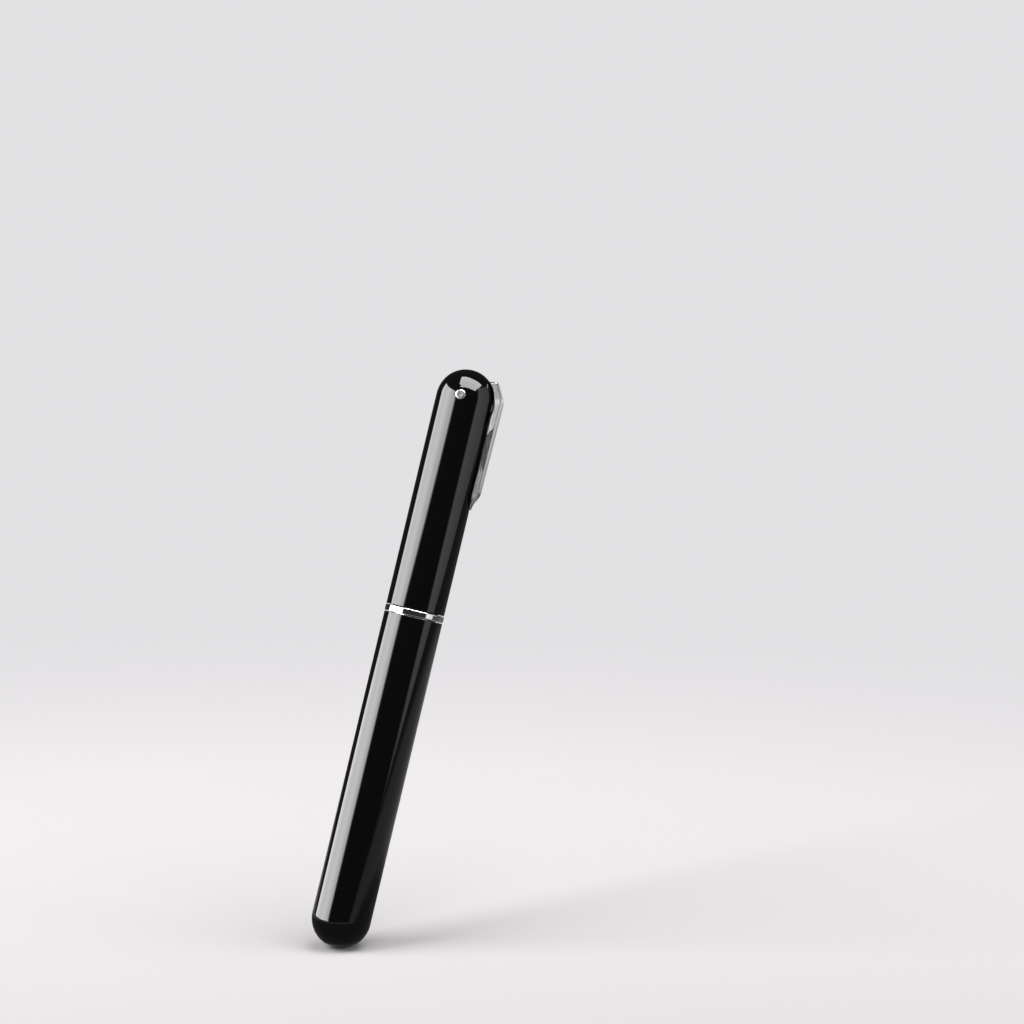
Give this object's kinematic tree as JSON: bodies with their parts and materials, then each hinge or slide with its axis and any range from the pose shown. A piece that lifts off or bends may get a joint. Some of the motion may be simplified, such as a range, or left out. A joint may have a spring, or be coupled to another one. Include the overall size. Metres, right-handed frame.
{
  "type": "air pump wine opener",
  "caption": "Pen-shaped wine opener: a black domed barrel slides as a pump handle behind a hollow needle, under a pull-off cap with a sprung pocket clip and a bright seam ring.",
  "frame": {"origin": "lowest point of the domed foot, on the pen's axis", "axes": "+Z along the pen towards the cap and its clip, +X towards the clip, Y along the pin that the clip swings on"},
  "size_m": [0.0227, 0.0208, 0.2],
  "materials": {
    "black_lacquer": "gloss black lacquer",
    "chrome_plate": "polished chrome plate",
    "bright_steel": "turned bright steel",
    "spring_steel": "drawn spring wire",
    "aluminium": "turned aluminium",
    "brass": "turned brass",
    "black_nylon": "moulded black nylon",
    "white_acetal": "turned white acetal",
    "rubber": "black moulded rubber"
  },
  "bodies": {
    "handle": {"handle_tube": "black_lacquer", "guide_bush": "white_acetal", "rod_anchor": "black_nylon", "rod_lock_nut": "bright_steel", "piston_rod": "bright_steel", "piston": "white_acetal", "piston_ring": "rubber", "piston_screw": "bright_steel"},
    "pump": {"pump_cylinder": "chrome_plate", "rod_gland": "black_nylon", "needle_hub": "aluminium", "hub_seal": "rubber", "trim_ring": "chrome_plate", "neck_ring": "rubber", "needle_gasket": "rubber", "needle_ferrule": "brass", "needle": "bright_steel", "valve_spring": "spring_steel"},
    "valve": {"valve_ball": "bright_steel"},
    "cap": {"cap_tube": "black_lacquer", "cap_liner": "black_nylon", "clip_block": "black_nylon", "clip_pin": "chrome_plate", "clip_spring": "spring_steel"},
    "clip": {"clip": "chrome_plate"}
  },
  "joints": [
    {"name": "pump_stroke", "type": "slide", "parent": "handle", "child": "pump", "axis": [0, 0, 1], "range_m": [0, 0.064]},
    {"name": "cap_pull", "type": "slide", "parent": "pump", "child": "cap", "axis": [0, 0, 1], "range_m": [0, 0.07]},
    {"name": "clip_hinge", "type": "hinge", "parent": "cap", "child": "clip", "pos_m": [0, 0, 0.1906], "axis": [0, -1, 0], "range_deg": [0, 5], "stiffness_Nm_per_rad": 0.6, "springref_deg": -6.88, "deforming": ["clip_spring"]},
    {"name": "valve_lift", "type": "slide", "parent": "pump", "child": "valve", "axis": [0, 0, 1], "range_m": [0, 0.0008], "stiffness_N_per_m": 20, "springref_m": -0.001, "deforming": ["valve_spring"]}
  ]
}
